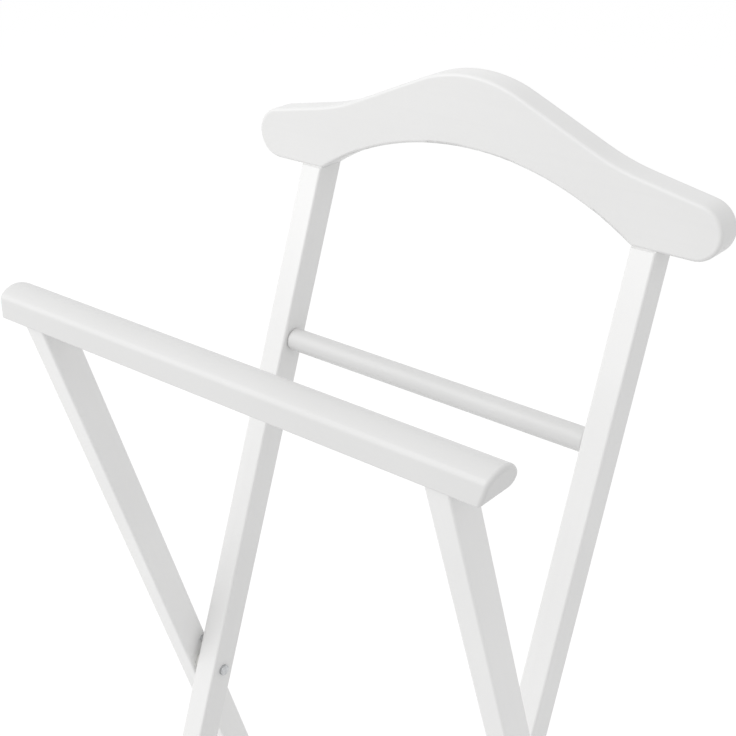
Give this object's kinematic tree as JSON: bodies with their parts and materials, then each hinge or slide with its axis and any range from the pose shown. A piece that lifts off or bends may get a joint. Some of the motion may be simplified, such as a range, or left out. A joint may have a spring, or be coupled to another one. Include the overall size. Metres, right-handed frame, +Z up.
{
  "type": "folding clothes valet",
  "caption": "White folding clothes valet: crossed wooden frames on pivots, a hanger-shaped board on the rear-leaning frame and a trouser bar on the other.",
  "frame": {"origin": "on the floor, at the middle of the length and of the depth that the open stand takes", "axes": "+X to the stand's right seen from the trouser bar's side, +Y to the back, from the trouser bar towards the hanger board, +Z up"},
  "size_m": [0.4758, 0.344, 0.977],
  "materials": {
    "white_lacquered_wood": "satin white lacquer",
    "bare_beech": "unfinished beech, inside the joints",
    "zinc_plated_steel": "zinc plated",
    "white_nylon": "matt",
    "grey_plastic": "matt"
  },
  "bodies": {
    "hanger_frame": {"hanger_board": "white_lacquered_wood", "upright_left": "white_lacquered_wood", "upright_right": "white_lacquered_wood", "upper_rail": "white_lacquered_wood", "lower_front_rail": "white_lacquered_wood", "hanger_dowel_left": "bare_beech", "hanger_dowel_right": "bare_beech", "pivot_sleeve_left": "zinc_plated_steel", "pivot_sleeve_right": "zinc_plated_steel", "pivot_bolt_left": "zinc_plated_steel", "pivot_bolt_right": "zinc_plated_steel", "pivot_spacer_left": "white_nylon", "pivot_spacer_right": "white_nylon", "glide_front_left": "grey_plastic", "glide_front_right": "grey_plastic"},
    "trouser_frame": {"trouser_bar": "white_lacquered_wood", "leg_left": "white_lacquered_wood", "leg_right": "white_lacquered_wood", "lower_rear_rail": "white_lacquered_wood", "bar_dowel_left": "bare_beech", "bar_dowel_right": "bare_beech", "stop_pin_left": "zinc_plated_steel", "stop_pin_right": "zinc_plated_steel", "glide_rear_left": "grey_plastic", "glide_rear_right": "grey_plastic"}
  },
  "joints": [
    {"name": "frame_fold", "type": "hinge", "parent": "hanger_frame", "child": "trouser_frame", "pos_m": [0, -0.01292, 0.4], "axis": [-1, 0, 0], "range_deg": [0, 31.8]}
  ]
}
